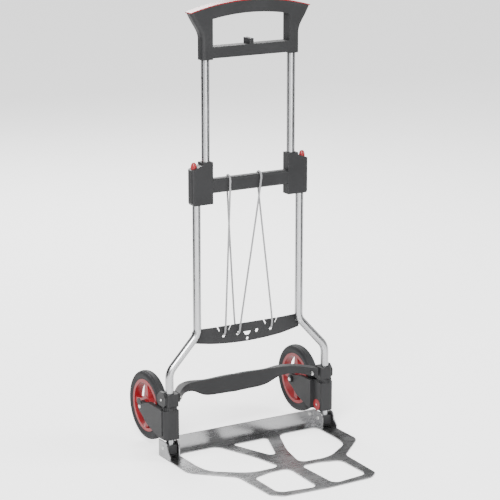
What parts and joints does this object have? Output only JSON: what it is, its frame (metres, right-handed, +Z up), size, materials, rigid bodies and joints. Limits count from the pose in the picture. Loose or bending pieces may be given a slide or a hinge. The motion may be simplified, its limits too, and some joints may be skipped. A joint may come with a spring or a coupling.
{
  "type": "folding hand truck",
  "caption": "Folding hand truck with a telescopic handle, fold-up cut-out toe plate, wheels that turn in flat, a bow bar over them and an elastic load cord.",
  "frame": {"origin": "on the toe plate's underside, midway between the legs, in the plane of the tubes", "axes": "+X to the right seen from the load side, -Y towards the load side, +Z up"},
  "size_m": [0.493, 0.5824, 1.11],
  "materials": {
    "plate_metal": "satin, fine brushed",
    "tube_metal": "satin anodised tube",
    "steel": "bright zinc",
    "red_plastic": "semi-gloss moulded",
    "grey_plastic": "fine grained moulded",
    "tyre": "matt rubber",
    "cord": "braided"
  },
  "bodies": {
    "frame": {"block_screws": "steel", "collar_rivets": "steel", "cord_knots": "cord", "cord_plate": "plate_metal", "cord_plate_rivets": "steel", "elastic_cord": "cord", "left_bow_pin": "steel", "left_button_spring": "steel", "left_foot_plug": "grey_plastic", "left_guide_bush": "grey_plastic", "left_joint_block": "grey_plastic", "left_leg_collar": "grey_plastic", "left_outer_tube": "tube_metal", "right_bow_pin": "steel", "right_button_spring": "steel", "right_foot_plug": "grey_plastic", "right_guide_bush": "grey_plastic", "right_joint_block": "grey_plastic", "right_leg_collar": "grey_plastic", "right_outer_tube": "tube_metal", "upper_crossbar": "grey_plastic"},
    "handle": {"handle_frame": "grey_plastic", "handle_strip": "red_plastic", "left_inner_tube": "tube_metal", "left_tube_end_plug": "grey_plastic", "right_inner_tube": "tube_metal", "right_tube_end_plug": "grey_plastic", "socket_rivets": "steel"},
    "toe_plate": {"flange_rivets": "steel", "hinge_rivets": "steel", "toe_plate": "plate_metal"},
    "bow": {"bow_bar": "grey_plastic"},
    "left_button": {"left_release_button": "red_plastic"},
    "left_latch": {"left_latch_bolt": "grey_plastic"},
    "left_fork": {"left_axle": "steel", "left_drive_ring": "grey_plastic", "left_stop_disc": "red_plastic", "left_stop_disc_pin": "steel", "left_wheel_fork": "grey_plastic"},
    "left_wheel": {"left_tyre": "tyre", "left_wheel_bush": "grey_plastic", "left_wheel_rim": "red_plastic"},
    "right_button": {"right_release_button": "red_plastic"},
    "right_latch": {"right_latch_bolt": "grey_plastic"},
    "right_fork": {"right_axle": "steel", "right_drive_ring": "grey_plastic", "right_stop_disc": "red_plastic", "right_stop_disc_pin": "steel", "right_wheel_fork": "grey_plastic"},
    "right_wheel": {"right_tyre": "tyre", "right_wheel_bush": "grey_plastic", "right_wheel_rim": "red_plastic"}
  },
  "joints": [
    {"name": "handle_slide", "type": "slide", "parent": "frame", "child": "handle", "axis": [0, 0, -1], "range_m": [0, 0.24]},
    {"name": "toe_plate_fold", "type": "hinge", "parent": "frame", "child": "toe_plate", "pos_m": [0, 0.002, 0.0255], "axis": [-1, 0, 0], "range_deg": [0, 90]},
    {"name": "bow_swing", "type": "hinge", "parent": "frame", "child": "bow", "pos_m": [0, 0.005, 0.147], "axis": [1, 0, 0], "range_deg": [0, 99]},
    {"name": "left_button_press", "type": "slide", "parent": "frame", "child": "left_button", "axis": [0, 0, -1], "range_m": [0, 0.003], "stiffness_N_per_m": 300, "springref_m": -0.003, "deforming": ["left_button_spring"]},
    {"name": "left_latch_draw", "type": "slide", "parent": "frame", "child": "left_latch", "axis": [-1, 0, 0], "range_m": [0, 0.003]},
    {"name": "left_fork_turn", "type": "hinge", "parent": "frame", "child": "left_fork", "pos_m": [-0.223, 0, 0.085], "axis": [0, 0, -1], "range_deg": [0, 90]},
    {"name": "left_wheel_spin", "type": "hinge", "parent": "left_fork", "child": "left_wheel", "pos_m": [-0.2185, 0.117, 0.1005], "axis": [1, 0, 0], "continuous": true},
    {"name": "right_button_press", "type": "slide", "parent": "frame", "child": "right_button", "axis": [0, 0, -1], "range_m": [0, 0.003], "stiffness_N_per_m": 300, "springref_m": -0.003, "deforming": ["right_button_spring"]},
    {"name": "right_latch_draw", "type": "slide", "parent": "frame", "child": "right_latch", "axis": [1, 0, 0], "range_m": [0, 0.003]},
    {"name": "right_fork_turn", "type": "hinge", "parent": "frame", "child": "right_fork", "pos_m": [0.223, 0, 0.085], "axis": [0, 0, 1], "range_deg": [0, 90]},
    {"name": "right_wheel_spin", "type": "hinge", "parent": "right_fork", "child": "right_wheel", "pos_m": [0.2185, 0.117, 0.1005], "axis": [1, 0, 0], "continuous": true}
  ],
  "couplings": [
    {"joint": "bow_swing", "follows": "toe_plate_fold", "ratio": 1.1},
    {"joint": "left_latch_draw", "follows": "left_button_press", "ratio": 1},
    {"joint": "left_fork_turn", "follows": "toe_plate_fold", "ratio": 1},
    {"joint": "right_latch_draw", "follows": "right_button_press", "ratio": 1},
    {"joint": "right_fork_turn", "follows": "toe_plate_fold", "ratio": 1}
  ]
}
